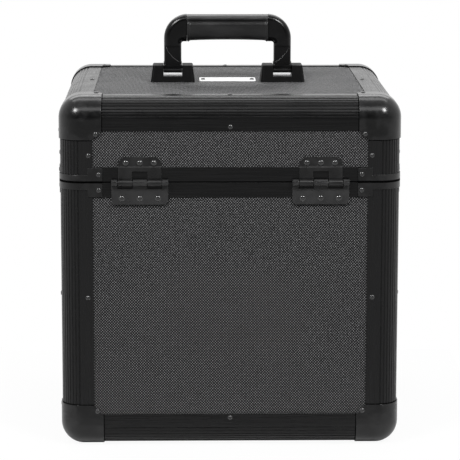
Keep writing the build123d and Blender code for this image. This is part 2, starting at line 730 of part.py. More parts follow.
# Bail: legs and yoke in one moulding, with a core for the grip.
with BuildPart() as bail:
    with BuildSketch(Plane((0, 0, PIVOT_Z), x_dir=(1, 0, 0), z_dir=(0, -1, 0))) as outline:
        rise = HANDLE_RISE - PIVOT_RISE
        Rectangle(HANDLE_WIDTH, rise, align=(Align.CENTER, Align.MIN))
        fillet(outline.vertices().group_by(Axis.Y)[-1], BAIL_CORNER)
        Rectangle(
            HANDLE_WIDTH - 2 * LEG_WIDTH,
            rise - GRIP_HEIGHT,
            align=(Align.CENTER, Align.MIN),
            mode=Mode.SUBTRACT,
        )
        inner_corners = outline.vertices().group_by(Axis.Y)[1]
        fillet(inner_corners.filter_by_position(Axis.X, -LEG_X, LEG_X), BAIL_INNER_CORNER)
    extrude(amount=YOKE_DEPTH / 2, both=True)
    long_edges = bail.edges().group_by(Axis.Y)
    fillet(long_edges[0] + long_edges[-1], BAIL_EDGE)
    for sign in (-1, 1):
        with BuildSketch(Plane((0, sign * LEG_DEPTH / 2, PIVOT_Z), x_dir=(1, 0, 0), z_dir=(0, sign, 0))):
            Rectangle(HANDLE_WIDTH, 2 * (YOKE_START - PIVOT_RISE))
        extrude(amount=YOKE_DEPTH, mode=Mode.SUBTRACT)
        with BuildSketch(Plane.YZ.offset(sign * LEG_X)):
            with Locations((0, PIVOT_Z)):
                Circle(BARREL_RADIUS)
        extrude(amount=LEG_WIDTH / 2 + BARREL_OUT, both=True)
        with BuildSketch(Plane.YZ.offset(sign * LEG_X)):
            with Locations((0, PIVOT_Z)):
                Circle(PIVOT_RADIUS + RUNNING_GAP)
        extrude(amount=LEG_WIDTH, both=True, mode=Mode.SUBTRACT)
    with BuildSketch(Plane.YZ) as around_core:
        with Locations((0, grip_middle)):
            Rectangle(2 * YOKE_DEPTH, 2 * GRIP_HEIGHT)
            Rectangle(CORE_DEPTH, CORE_HEIGHT, mode=Mode.SUBTRACT)
    extrude(amount=GRIP_LENGTH / 2, both=True, mode=Mode.SUBTRACT)
save(bail.part, "handle_bail")

# Grip: a soft sleeve over the core, its underside slightly arched.
grip_end = GRIP_LENGTH / 2
grip_foot = grip_middle - GRIP_HEIGHT / 2
with BuildPart() as grip:
    with BuildSketch(Plane.YZ):
        with Locations((0, grip_middle)):
            RectangleRounded(GRIP_DEPTH, GRIP_HEIGHT, GRIP_CORNER)
            Rectangle(CORE_DEPTH + 2 * SEAT_GAP, CORE_HEIGHT + 2 * SEAT_GAP, mode=Mode.SUBTRACT)
    extrude(amount=grip_end, both=True)
    with BuildSketch(Plane.XZ):
        with BuildLine():
            arch_ends = [(-grip_end, grip_foot), (grip_end, grip_foot)]
            ThreePointArc(arch_ends[0], (0, grip_foot + GRIP_ARCH), arch_ends[1])
            Line(*arch_ends)
        make_face()
    extrude(amount=GRIP_DEPTH, both=True, mode=Mode.SUBTRACT)
save(grip.part, "handle_grip")

with BuildPart() as nameplate:
    with BuildSketch(Plane.XY.offset(SEAT_Z)):
        RectangleRounded(NAMEPLATE_LENGTH, NAMEPLATE_DEPTH, NAMEPLATE_CORNER)
    extrude(amount=NAMEPLATE)
save(drilled(nameplate.part, "lid"), "nameplate")


# ---------------------------------------------------------------- latches

ear_start = LEVER_HALF + LEVER_PLAY
lock_bore = LOCK_RADIUS + RUNNING_GAP
plates, lever_pins, keepers = [], [], []

for side, sign in SIDES.items():
    middle = sign * LATCH_X
    plate_width = around(middle, PLATE_HALF)
    lever_width = around(middle, LEVER_HALF)
    grip_width = around(middle, LEVER_GRIP_HALF)
    claw_width = around(middle, CLAW_HALF)
    keeper_width = around(middle, KEEPER_HALF)

    with BuildPart() as plate:
        face_block(1, plate_width, (0, PLATE), (-PLATE_DROP, -PLATE_TOP))
        face_block(1, plate_width, (-SKIN, 0), (-PLATE_DROP, -rim_edge))
        fillet(plate.edges().filter_by(Axis.Y).group_by(Axis.Z)[0], PLATE_CORNER)
        fillet(plate.edges().filter_by(Axis.Y).group_by(Axis.Z)[-1], PLATE_CORNER)
        for s in (-1, 1):
            span = beside(middle, s, ear_start, ear_start + EAR_SHEET)
            upward = (-LEVER_PIN_DROP - LEVER_BOSS, -LEVER_PIN_DROP + LEVER_BOSS)
            face_block(1, span, (0, LEVER_PIN_OUT), upward)
            cross_rod(1, span, LEVER_PIN_OUT, -LEVER_PIN_DROP, LEVER_BOSS)
        cross_rod(
            1,
            plate_width,
            LEVER_PIN_OUT,
            -LEVER_PIN_DROP,
            LEVER_PIN + RUNNING_GAP,
            Mode.SUBTRACT,
        )
    plates.append(drilled(plate.part, "base"))

    with BuildPart() as lever_pin:
        outside = ear_start + EAR_SHEET
        whole_pin = around(middle, outside + RIVET_RISE)
        cross_rod(1, whole_pin, LEVER_PIN_OUT, -LEVER_PIN_DROP, LEVER_PIN)
        for s in (-1, 1):
            head = beside(middle, s, outside, outside + RIVET_RISE)
            cross_rod(1, head, LEVER_PIN_OUT, -LEVER_PIN_DROP, LEVER_PIN_HEAD)
    lever_pins.append(lever_pin.part)

    with BuildPart() as lever:
        for s in (-1, 1):
            x = middle + s * (LEVER_HALF - LEVER_SHEET / 2)
            with BuildSketch(side_plane(1, x)):
                with Locations((LEVER_PIN_OUT, -LEVER_PIN_DROP)):
                    Circle(LEVER_BOSS)
                with Locations((CLAW_PIN_OUT, -CLAW_PIN_DROP)):
                    Circle(LEVER_BOSS)
                with Locations((LEVER_FACE_OUT, -LEVER_DROP)):
                    Rectangle(
                        LEVER_HEEL,
                        LEVER_DROP - LEVER_FACE_TOP,
                        align=(Align.MAX, Align.MIN),
                    )
                make_hull()
            extrude(amount=LEVER_SHEET / 2, both=True)
        face_span = (LEVER_FACE_OUT - LEVER_SHEET, LEVER_FACE_OUT)
        face_block(1, lever_width, face_span, (-LEVER_DROP, -LEVER_FACE_TOP))
        face_block(1, grip_width, face_span, (-LEVER_DROP, -LEVER_GRIP_TOP))
        lip_span = (LEVER_FACE_OUT - LEVER_SHEET, LEVER_FACE_OUT + LIP)
        face_block(1, grip_width, lip_span, (-LEVER_DROP, LEVER_SHEET - LEVER_DROP))
        lock_plane = Plane(
            origin=(middle, HALF_Y + LEVER_FACE_OUT, SPLIT - LOCK_DROP),
            x_dir=(-1, 0, 0),
            z_dir=(0, 1, 0),
        )
        with BuildSketch(lock_plane):
            Circle(lock_bore + LOCK_WALL)
        extrude(amount=PLATE + BODY_GAP - LEVER_FACE_OUT)
        with BuildSketch(lock_plane):
            Circle(lock_bore)
        extrude(amount=-LEVER_FACE_OUT, mode=Mode.SUBTRACT)
        for out, drop, radius in (
            (LEVER_PIN_OUT, LEVER_PIN_DROP, LEVER_PIN),
            (CLAW_PIN_OUT, CLAW_PIN_DROP, CLAW_PIN),
        ):
            cross_rod(1, lever_width, out, -drop, radius + RUNNING_GAP, Mode.SUBTRACT)
    with BuildPart() as claw_pin:
        cross_rod(1, lever_width, CLAW_PIN_OUT, -CLAW_PIN_DROP, CLAW_PIN)
    save(Compound(children=[lever.part, claw_pin.part]), f"latch_lever_{side}")

    with BuildPart() as claw:
        strap_span = (CLAW_PIN_OUT - CLAW_SHEET / 2, CLAW_PIN_OUT + CLAW_SHEET / 2)
        face_block(1, claw_width, strap_span, (-CLAW_PIN_DROP, CLAW_RISE))
        hook_span = (CLAW_PIN_OUT - CLAW_SHEET / 2 - CLAW_HOOK, strap_span[1])
        face_block(1, claw_width, hook_span, (CLAW_RISE - CLAW_SHEET, CLAW_RISE))
        cross_rod(1, claw_width, CLAW_PIN_OUT, -CLAW_PIN_DROP, CLAW_BARREL)
        cross_rod(
            1,
            claw_width,
            CLAW_PIN_OUT,
            -CLAW_PIN_DROP,
            CLAW_PIN + RUNNING_GAP,
            Mode.SUBTRACT,
        )
    save(claw.part, f"latch_claw_{side}")

    with BuildPart() as lock:
        with BuildSketch(lock_plane.offset(LOCK_PROUD)):
            Circle(LOCK_RADIUS)
        extrude(amount=PLATE + 2 * BODY_GAP - LEVER_FACE_OUT - LOCK_PROUD)
        with BuildSketch(lock_plane.offset(LOCK_PROUD)):
            Rectangle(KEY_SLOT, LOCK_RADIUS)
        extrude(amount=-LOCK_RADIUS, mode=Mode.SUBTRACT)
    save(lock.part, f"lock_cylinder_{side}")

    with BuildPart() as keeper:
        face_block(1, keeper_width, (0, PLATE), (KEEPER_BOTTOM, KEEPER_TOP))
        face_block(1, keeper_width, (-SKIN, 0), (rim_edge, KEEPER_TOP))
        fillet(keeper.edges().filter_by(Axis.Y).group_by(Axis.Z)[-1], PLATE_CORNER)
        face_block(1, claw_width, (0, CATCH_OUT), (CATCH_BOTTOM, CATCH_BOTTOM + PLATE))
        face_block(1, claw_width, (CATCH_OUT - SKIN, CATCH_OUT), (CATCH_BOTTOM, CATCH_TOP))
    keepers.append(drilled(keeper.part, "lid"))

save(Compound(children=plates), "latch_plates")
save(Compound(children=lever_pins), "latch_lever_pins")
save(Compound(children=keepers), "latch_keepers")

for body, places in rivet_places.items():
    heads = []
    for place, head_radius in places:
        with BuildPart() as head:
            with Locations(place):
                add(rivets[head_radius])
        heads.append(head.part)
    save(Compound(children=heads), f"{body}_rivets")
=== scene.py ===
"""Record carrying case: finishes and soft parts over its solid model, in metres, +Z up.
The hinge side faces -Y, the latch side +Y, and the case rests on the plane at zero height."""

from math import ceil, cos, pi, sin

import bmesh
import bpy
from mathutils import Matrix, Quaternion, Vector


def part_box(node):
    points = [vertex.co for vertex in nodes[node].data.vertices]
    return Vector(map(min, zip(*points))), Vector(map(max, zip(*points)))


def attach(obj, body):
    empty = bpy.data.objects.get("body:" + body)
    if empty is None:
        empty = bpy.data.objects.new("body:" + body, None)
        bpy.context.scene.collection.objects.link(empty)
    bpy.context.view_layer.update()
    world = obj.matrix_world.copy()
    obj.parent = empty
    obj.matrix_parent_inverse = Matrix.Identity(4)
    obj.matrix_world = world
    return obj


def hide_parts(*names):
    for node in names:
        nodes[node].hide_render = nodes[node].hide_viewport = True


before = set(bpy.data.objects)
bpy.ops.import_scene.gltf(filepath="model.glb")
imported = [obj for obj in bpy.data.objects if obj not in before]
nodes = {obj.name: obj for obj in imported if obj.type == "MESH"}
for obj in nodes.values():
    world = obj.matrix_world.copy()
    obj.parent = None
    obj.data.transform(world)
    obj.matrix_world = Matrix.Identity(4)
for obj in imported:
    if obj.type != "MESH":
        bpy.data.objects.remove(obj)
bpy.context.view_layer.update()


# ---------------------------------------------------------------- edge profiles
# Quarter-round aluminium extrusions with nine flutes on the curve and a flat flange on
# each face, black anodised. The panels slide into them and their flanges are riveted down.

class Signal:
    """One output of a node tree; arithmetic on it adds Math nodes."""

    def __init__(self, wiring, socket):
        self.wiring = wiring
        self.socket = socket

    def math(self, operation, *others):
        values = dict(enumerate((self, *others)))
        return self.wiring.node("ShaderNodeMath", {"operation": operation}, values)

    def __add__(self, other):
        return self.math("ADD", other)

    def __sub__(self, other):
        return self.math("SUBTRACT", other)

    def __mul__(self, other):
        return self.math("MULTIPLY", other)

    def __truediv__(self, other):
        return self.math("DIVIDE", other)

    def __rsub__(self, other):
        return self * -1 + other

    __radd__ = __add__
    __rmul__ = __mul__

    def eased(self, low, high, start=0.0, end=1.0):
        """Runs smoothly from start to end while the signal goes from low to high."""
        values = {"Value": self, "From Min": low, "From Max": high, "To Min": start, "To Max": end}
        return self.wiring.node("ShaderNodeMapRange", {"interpolation_type": "SMOOTHSTEP"}, values)


class Wiring:
    """A node tree that one method adds nodes to."""

    def __init__(self, tree):
        self.tree = tree

    def feed(self, made, values):
        """Links a node's sockets to signals, or sets them to plain values."""
        for key, value in dict(values).items():
            for one in value if isinstance(value, list) else [value]:
                if isinstance(one, Signal):
                    self.tree.links.new(one.socket, made.inputs[key])
                else:
                    made.inputs[key].default_value = one

    def node(self, kind, settings=(), values=(), output=0):
        """Adds a node and gives one of its outputs, if it has any."""
        made = self.tree.nodes.new(kind)
        for key, value in dict(settings).items():
            setattr(made, key, value)
        self.feed(made, values)
        return Signal(self, made.outputs[output]) if made.outputs else None


class Finish(Wiring):
    """A material: its constants first, then what varies over the surface."""

    def __init__(self, name, **constants):
        self.material = bpy.data.materials.new(name)
        self.material.use_nodes = True
        super().__init__(self.material.node_tree)
        self.shader = self.tree.nodes["Principled BSDF"]
        self.show(**constants)

    def place(self, stretch=(1, 1, 1)):
        """Object coordinates; a small stretch draws the pattern out along that axis."""
        spot = self.node("ShaderNodeTexCoord", output="Object")
        return self.node("ShaderNodeMapping", {}, {"Vector": spot, "Scale": stretch})

    def grain(self, size, detail=3.0, stretch=(1, 1, 1)):
        """Noise whose patches are about size metres across."""
        values = {"Vector": self.place(stretch), "Scale": 1 / size, "Detail": detail}
        return self.node("ShaderNodeTexNoise", {}, values)

    def tint(self, factor, first, second):
        """A colour that goes from the first to the second with the factor."""
        values = {0: factor, 6: (*first, 1), 7: (*second, 1)}
        return self.node("ShaderNodeMix", {"data_type": "RGBA"}, values, 2)

    def softened(self, radius):
        """The normal with its sharp edges rounded."""
        return self.node("ShaderNodeBevel", {"samples": 6}, {"Radius": radius})

    def edges(self, rounded):
        """One along the edges that a rounded normal softens, and zero on the flats."""
        plain = self.node("ShaderNodeNewGeometry", output="Normal")
        pair = {0: rounded, 1: plain}
        along = self.node("ShaderNodeVectorMath", {"operation": "DOT_PRODUCT"}, pair, "Value")
        return (1 - along).eased(0.02, 0.3)

    def band(self, way, middle, half):
        """One within half a width of a plane across the named axis, and zero away from it."""
        along = self.node("ShaderNodeSeparateXYZ", {}, {"Vector": self.place()}, way)
        return (along - middle).math("ABSOLUTE").eased(half, half * 1.6, 1, 0)

    def relief(self, height, depth, over=None):
        """A normal that follows a height of depth metres, over another normal if one is given."""
        values = {"Height": height, "Distance": depth, "Strength": 1.0}
        if over:
            values["Normal"] = over
        return self.node("ShaderNodeBump", {}, values)

    def show(self, **surface):
        """Sets or links the shader's own sockets."""
        self.feed(self.shader, {key.replace("_", " "): value for key, value in surface.items()})
        return self.material


def dress(material, *names):
    """Gives CAD nodes their finish."""
    for name in names:
        mesh = nodes[name].data
        mesh.materials.clear()
        mesh.materials.append(material)


BLACK_ANODISE = (0.0018, 0.0018, 0.0019)
WORN_AND_LIT_ANODISE = (0.016, 0.016, 0.0163)
DIE_LINE = 0.0009
DIE_LINE_DEPTH = 0.000006
DRAWN = 0.02
EDGE_WEAR = 0.0006
# Half the width of the painted shade lines in the gaps where a profile enters a cap, and where the lid meets
# the base
JOINT_HALF = 0.0007
SPLIT_HALF = 0.0005
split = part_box("lid_rear_rim")[0].z


def anodised(name, stretch, joints, painted_lift=0.0, streak=0.22):
    """Black anodised aluminium: faint die lines along it, painted shade in the joints at the caps and at the
    mouth, and paler all over by a painted lift where one is given.
    """
    finish = Finish(name, Specular_IOR_Level=0.25)
    lines = finish.grain(DIE_LINE, detail=2.0, stretch=stretch)
    cloud = finish.grain(0.03, detail=4.0)
    normal = finish.softened(EDGE_WEAR)
    way = "XYZ"[stretch.index(min(stretch))]
    # The bands where the profile enters the caps and at the mouth are painted black, as painted shade in the
    # gaps there.
    ends = [finish.band(way, joint, JOINT_HALF) for joint in joints]
    painted_joint_shade = (ends[0] + ends[1] + finish.band("Z", split, SPLIT_HALF)).math("MINIMUM", 1.0)
    worn = finish.edges(normal) * 0.5
    # A given lift makes the whole surface paler, as painted light.
    lighter = (worn + lines.eased(0.35, 0.75, 0, streak) + painted_lift) * (1 - painted_joint_shade)
    return finish.show(
        Base_Color=finish.tint(lighter, BLACK_ANODISE, WORN_AND_LIT_ANODISE),
        Metallic=painted_joint_shade,
        Roughness=lines.eased(0.3, 0.7, 0.22, 0.29) + cloud.eased(0.35, 0.7, 0, 0.05) + painted_joint_shade * 0.6,
        Normal=finish.relief(lines, DIE_LINE_DEPTH, over=normal),
    )


ENDS = ("rear", "front")
SIDES = ("left", "right")
BODIES = ("base", "lid")

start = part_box("base_rear_left_cap")[1]
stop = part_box("lid_front_right_cap")[0]
along_x = anodised("anodised_along_x", (DRAWN, 1, 1), (start.x, stop.x))
along_y = anodised("anodised_along_y", (1, DRAWN, 1), (start.y, stop.y))
# The uprights are lifted paler all over, as painted light for the light they catch from the sides.
upright = anodised("anodised_upright", (1, 1, DRAWN), (start.z, stop.z), painted_lift=0.3, streak=0.1)
for body in BODIES:
    for profile in ("edge", "rim"):
        dress(along_x, *(f"{body}_{end}_{profile}" for end in ENDS))
        dress(along_y, *(f"{body}_{side}_{profile}" for side in SIDES))
    dress(upright, f"{body}_uprights")


# ---------------------------------------------------------------- panels
# Plywood faced with a dark grey plastic laminate, rolled into rows of small diamonds.
# The sheets lie 1.2 mm under the flanges, which hold them by all four edges.

SHADED_DIAMOND_FOOT = (0.012, 0.012, 0.0123)
DIAMOND_TOP = (0.17, 0.17, 0.173)
BACKING_DARK = (0.006, 0.006, 0.0064)
BACKING_PALE = (0.02, 0.02, 0.021)
COLUMN_PITCH = 0.00278
ROW_PITCH = 0.00297
DIAMOND_RISE = 0.00034
# How far the diamonds' feet stand off the panel, and how near points are to be made one
BED = 0.00002
WELD = 0.00001
# Where the flanges' inner edges leave the panels bare, from the case's outside and by height
FLANGE = 0.034
HALF_X = 0.175
REAR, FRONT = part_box("base_rear_edge")[0].y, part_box("base_front_edge")[1].y
BASE_PANELS = (0.0352, 0.2639)
LID_PANELS = (0.2945, 0.3322)


class Recipe(Wiring):
    """A Geometry Nodes tree with named inputs."""

    def __init__(self, name, **inputs):
        super().__init__(bpy.data.node_groups.new(name, "GeometryNodeTree"))
        self.keys = {}
        for label, kind in inputs.items():
            socket = self.tree.interface.new_socket(label, in_out="INPUT", socket_type=kind)
            self.keys[label] = socket.identifier
        self.tree.interface.new_socket("Result", in_out="OUTPUT", socket_type="NodeSocketGeometry")

    def given(self, label):
        """The named input, as a signal."""
        return self.node("NodeGroupInput", output=label)

    def finish(self, geometry, material):
        """Ends the tree with real geometry in its finish."""
        whole = self.node("GeometryNodeRealizeInstances", {}, {"Geometry": geometry})
        dressed = self.node("GeometryNodeSetMaterial", {}, {"Geometry": whole, "Material": material})
        self.node("NodeGroupOutput", {}, {"Result": dressed})


def added(name, data):
    """A new object in the scene."""
    piece = bpy.data.objects.new(name, data)
    bpy.context.scene.collection.objects.link(piece)
    return piece


def settled(piece):
    """The plain mesh that a piece's modifiers, or a curve's bevel, make of it."""
    graph = bpy.context.evaluated_depsgraph_get()
    return bpy.data.meshes.new_from_object(piece.evaluated_get(graph), depsgraph=graph)


def grown(name, recipe, **values):
    """Runs a recipe once and keeps what it makes as a plain mesh object."""
    piece = added(name, bpy.data.meshes.new(name))
    growth = piece.modifiers.new("growth", "NODES")
    growth.node_group = recipe.tree
    for label, value in values.items():
        growth[recipe.keys[label]] = value
    plain = settled(piece)
    piece.modifiers.remove(growth)
    piece.data = plain
    return piece


laminate = Finish("diamond_laminate", Specular_IOR_Level=0.05)
height = laminate.node("ShaderNodeAttribute", {"attribute_name": "height"}, output="Fac")
smudge = laminate.grain(0.05, detail=4.0)
speck = laminate.grain(0.0016, detail=2.0)
# The diamonds' tops are paler, as wear, and their feet are painted near black, as painted shade in the
# grooves between them.
worn_tops_shaded_grooves = height.eased(0.42, 0.68) * speck.eased(0.2, 0.8, 0.88, 1.08)
laminate.show(
    Base_Color=laminate.tint(worn_tops_shaded_grooves, SHADED_DIAMOND_FOOT, DIAMOND_TOP),
    Roughness=smudge.eased(0.3, 0.7, 0.34, 0.44) + height * -0.06,
)

backing = Finish("panel_backing", Specular_IOR_Level=0.3)
weave = backing.grain(0.0012, detail=2.0)
backing.show(
    Base_Color=backing.tint(weave, BACKING_DARK, BACKING_PALE),
    Roughness=weave.eased(0.3, 0.7, 0.5, 0.65),
)

emboss = Recipe(
    "diamond_rows",
    Columns="NodeSocketInt",
    Rows="NodeSocketInt",
    Column_Pitch="NodeSocketFloat",
    Row_Pitch="NodeSocketFloat",
    Rise="NodeSocketFloat",
)
columns, rows = emboss.given("Columns"), emboss.given("Rows")
column_pitch, row_pitch = emboss.given("Column_Pitch"), emboss.given("Row_Pitch")
lattices = [
    emboss.node("GeometryNodeMeshGrid", {}, {
        "Vertices X": columns + extra,
        "Vertices Y": rows + extra,
        "Size X": (columns + (extra - 1)) * column_pitch,
        "Size Y": (rows + (extra - 1)) * row_pitch,
    })
    for extra in (0, 1)
]
points = emboss.node("GeometryNodeJoinGeometry", {}, {"Geometry": lattices})
diamond = emboss.node("GeometryNodeMeshCone", {"fill_type": "NONE"}, {
    "Vertices": 4,
    "Radius Top": 0.0,
    "Radius Bottom": column_pitch * 0.5,
    "Depth": emboss.given("Rise"),
})
shape = emboss.node("ShaderNodeCombineXYZ", {}, {"X": 1.0, "Y": row_pitch / column_pitch, "Z": 1.0})
placing = {"Points": points, "Instance": diamond, "Scale": shape}
sown = emboss.node("GeometryNodeInstanceOnPoints", {}, placing)
real = emboss.node("GeometryNodeRealizeInstances", {}, {"Geometry": sown})
joined = emboss.node("GeometryNodeMergeByDistance", {}, {"Geometry": real, "Distance": WELD})
spot = emboss.node("GeometryNodeInputPosition")
level = emboss.node("ShaderNodeSeparateXYZ", {}, {"Vector": spot}, "Z")
marked = emboss.node("GeometryNodeStoreNamedAttribute", {"data_type": "FLOAT", "domain": "POINT"}, {
    "Geometry": joined, "Name": "height", "Value": level / emboss.given("Rise"),
})
emboss.finish(marked, laminate.material)


def lay_emboss(name, body, panel, out, up, low, high):
    """Covers the bare rectangle of a panel between low and high with diamonds."""
    dress(backing.material, panel)
    across = up.cross(out)
    span = high - low
    columns, rows = (
        ceil(abs(span.dot(way)) / pitch) for way, pitch in ((across, COLUMN_PITCH), (up, ROW_PITCH))
    )
    sizes = {"Column_Pitch": COLUMN_PITCH, "Row_Pitch": ROW_PITCH, "Rise": DIAMOND_RISE}
    piece = grown(name, emboss, Columns=columns, Rows=rows, **sizes)
    turn = Matrix((across, up, out)).transposed().to_4x4()
    piece.data.transform(Matrix.Translation((low + high) / 2 + out * BED) @ turn)
    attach(piece, body)


UP = Vector((0, 0, 1))
SIDE_Y = (REAR + FLANGE, FRONT - FLANGE)
ACROSS_X = (FLANGE - HALF_X, HALF_X - FLANGE)
for body, levels in (("base", BASE_PANELS), ("lid", LID_PANELS)):
    for end, way in (("rear", -1), ("front", 1)):
        panel = f"{body}_{end}_panel"
        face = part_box(panel)[max(way, 0)].y
        low, high = (Vector((x, face, z)) for x, z in zip(ACROSS_X, levels))
        lay_emboss(f"{body}_{end}_diamonds", body, panel, Vector((0, way, 0)), UP, low, high)
    for side, way in (("left", -1), ("right", 1)):
        panel = f"{body}_{side}_panel"
        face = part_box(panel)[max(way, 0)].x
        low, high = (Vector((face, y, z)) for y, z in zip(SIDE_Y, levels))
        lay_emboss(f"{body}_{side}_diamonds", body, panel, Vector((way, 0, 0)), UP, low, high)
for body, panel, way in (("base", "base_floor_panel", -1), ("lid", "lid_top_panel", 1)):
    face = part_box(panel)[max(way, 0)].z
    low, high = (Vector((x, y, face)) for x, y in zip(ACROSS_X, SIDE_Y))
    lay_emboss(f"{panel[:-6]}_diamonds", body, panel, UP * way, Vector((0, 1, 0)), low, high)


# ---------------------------------------------------------------- corner caps
# Injection-moulded ball corners with three ears, satin black. They clip over the ends of
# the profiles and are held by a rivet through each ear.

CAP_BLACK = (0.0022, 0.0022, 0.0023)
CAP_SCUFFED_AND_LIT = (0.024, 0.024, 0.0245)
CAP_SINK = 0.0003
CAP_TEXTURE = 0.00003

caps = Finish("cap_moulding", Specular_IOR_Level=0.38)
mottle = caps.grain(0.0035, detail=4.0)
haze = caps.grain(0.014)
sink = caps.grain(0.016, detail=2.0)
normal = caps.softened(0.0007)
# The edges are painted paler, partly as wear and partly as a painted highlight along them; the haze adds
# random paler patches.
paler = caps.edges(normal) * 0.8 + haze.eased(0.44, 0.64, 0, 0.28)
caps.show(
    Base_Color=caps.tint(paler, CAP_BLACK, CAP_SCUFFED_AND_LIT),
    Roughness=mottle.eased(0.3, 0.7, 0.19, 0.25),
    Normal=caps.relief(mottle, CAP_TEXTURE, over=caps.relief(sink, CAP_SINK, over=normal)),
)
dress(caps.material, *(f"{body}_{end}_{side}_cap" for body in BODIES for end in ENDS for side in SIDES))


# ---------------------------------------------------------------- rim brackets
# Pressed steel corner plates that tie the rim profiles together at the mouth, black coated.
# One half of each is on the lid and one on the base.

COAT_BLACK = (0.0035, 0.0035, 0.0036)
COAT_RUBBED_AND_LIT = (0.06, 0.06, 0.061)
ORANGE_PEEL = 0.0007
ORANGE_PEEL_DEPTH = 0.00002
# Half the width of the painted shade line in the gap between the halves, which also covers their worn edges
CORNER_SPLIT_HALF = 0.0009


def coating(name, painted_light=0.0, mouth_shade=0.0):
    """Black powder coat with a faint orange peel, paler at its edges as wear and painted highlight, paler
    all over by a painted-light lift where one is given, and painted black as painted shade where the mouth
    parts it.
    """
    coat = Finish(name, Specular_IOR_Level=0.4)
    peel = coat.grain(ORANGE_PEEL, detail=2.0)
    patch = coat.grain(0.012, detail=4.0)
    normal = coat.softened(0.0005)
    # The band along the mouth is painted black, as painted shade in the gap between the halves; the edges
    # are painted paler, partly as wear and partly as a painted highlight, and a given lift paints the whole
    # coat paler as painted light.
    painted_gap_shade = coat.band("Z", split, CORNER_SPLIT_HALF) * mouth_shade
    paler = (coat.edges(normal) * 0.7 + patch.eased(0.35, 0.75, 0, 0.14) + painted_light) * (1 - painted_gap_shade)
    return coat.show(
        Base_Color=coat.tint(paler, COAT_BLACK, COAT_RUBBED_AND_LIT),
        Metallic=painted_gap_shade,
        Roughness=patch.eased(0.3, 0.7, 0.26, 0.36) + painted_gap_shade * 0.6,
        Normal=coat.relief(peel, ORANGE_PEEL_DEPTH, over=normal),
    )


coated = coating("black_coated_steel")
dress(coating("rim_bracket_steel", mouth_shade=1.0), *(f"{body}_rim_brackets" for body in BODIES))


# ---------------------------------------------------------------- rivets
# Blind steel rivets with domed heads, blackened, each with the small hole its pull stem left.
# The two that fix the nameplate are duller than the rest.

RIVET_BLACK = (0.004, 0.004, 0.0042)
RIVET_SCUFFED = (0.02, 0.02, 0.0205)
# How far from the plate's middle its rivets are dull
DULL_X = 0.05
DULL_Y = 0.01

blackened = Finish("blackened_rivets", Specular_IOR_Level=0.95)
scuff = blackened.grain(0.0012)
plate_low, plate_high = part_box("nameplate")
plate_middle = (plate_low + plate_high) / 2
dull = blackened.band("X", plate_middle.x, DULL_X) * blackened.band("Y", plate_middle.y, DULL_Y)
scuffed = scuff.eased(0.4, 0.75) * (1 - dull)
blackened.show(
    Base_Color=blackened.tint(scuffed, RIVET_BLACK, RIVET_SCUFFED),
    Roughness=scuff.eased(0.3, 0.7, 0.13, 0.2) + dull * 0.8,
)
dress(blackened.material, *(f"{body}_rivets" for body in BODIES))


# ---------------------------------------------------------------- foam linings
# Black closed-cell foam sheet glued to the inner faces of base and lid, five sheets in each,
# soft at its edges.

FOAM_DARK = (0.011, 0.011, 0.0115)
FOAM_DUSTY = (0.026, 0.026, 0.027)
CELLS_PER_METRE = 1100.0
CELL_DEPTH = 0.0002
ROUNDED_EDGE = 0.0011
SAME_PLANE = 0.01

foam = Finish("black_foam", Specular_IOR_Level=0.2)
cells = foam.node("ShaderNodeTexVoronoi", {}, {"Vector": foam.place(), "Scale": CELLS_PER_METRE})
nap = foam.grain(0.006, detail=4.0)
foam.show(
    Base_Color=foam.tint(nap.eased(0.3, 0.7), FOAM_DARK, FOAM_DUSTY),
    Roughness=nap.eased(0.3, 0.7, 0.82, 0.96),
    Normal=foam.relief(cells, CELL_DEPTH),
)


def softened_copy(name, node, width):
    """A closed copy of a CAD node with its flat faces made whole and its edges rounded."""
    form = bmesh.new()
    form.from_mesh(nodes[node].data)
    bmesh.ops.remove_doubles(form, verts=form.verts, dist=WELD)
    bmesh.ops.dissolve_limit(form, angle_limit=SAME_PLANE, verts=form.verts, edges=form.edges)
    mesh = bpy.data.meshes.new(name)
    form.to_mesh(mesh)
    form.free()
    mesh.materials.clear()
    piece = added(name, mesh)
    rounding = piece.modifiers.new("rounding", "BEVEL")
    rounding.width = width
    rounding.segments = 3
    rounding.limit_method = "ANGLE"
    piece.data = settled(piece)
    piece.modifiers.clear()
    return piece


for body in BODIES:
    lining = softened_copy(f"{body}_foam", f"{body}_lining", ROUNDED_EDGE)
    lining.data.materials.append(foam.material)
    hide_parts(f"{body}_lining")
    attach(lining, body)


# ---------------------------------------------------------------- hinges
# Two pressed steel hinges with knuckles on a plain pin, black coated, riveted to the rims.
# The lower leaves are painted a little paler than the upper ones, as painted light for the brighter light
# they catch.

dress(coated, "hinge_upper_leaves", "hinge_pins")
dress(coating("rubbed_hinge_steel", painted_light=0.2), "hinge_lower_leaves")


# ---------------------------------------------------------------- draw latches
# Pressed steel plates, levers, claws and keepers, black coated like the hinges, each lever
# with a bright plated lock cylinder.

PLATED_DARK = (0.5, 0.5, 0.51)
PLATED_BRIGHT = (0.68, 0.68, 0.69)

plated = Finish("bright_plated_steel", Metallic=1.0)
brush = plated.grain(0.0005, detail=2.0, stretch=(0.05, 1, 1))
plated.show(
    Base_Color=plated.tint(brush, PLATED_DARK, PLATED_BRIGHT),
    Roughness=brush.eased(0.3, 0.7, 0.2, 0.32),
    Normal=plated.relief(brush, depth=0.000008, over=plated.softened(0.0002)),
)
dress(coated, "latch_plates", "latch_lever_pins", "latch_keepers")
for side in SIDES:
    dress(coated, f"latch_lever_{side}", f"latch_claw_{side}")
    dress(plated.material, f"lock_cylinder_{side}")


# ---------------------------------------------------------------- handle
# A moulded black bail that folds down on two steel pins, held by two moulded feet with a
# bright steel strap in each notch. A soft sleeve is slid over its middle.

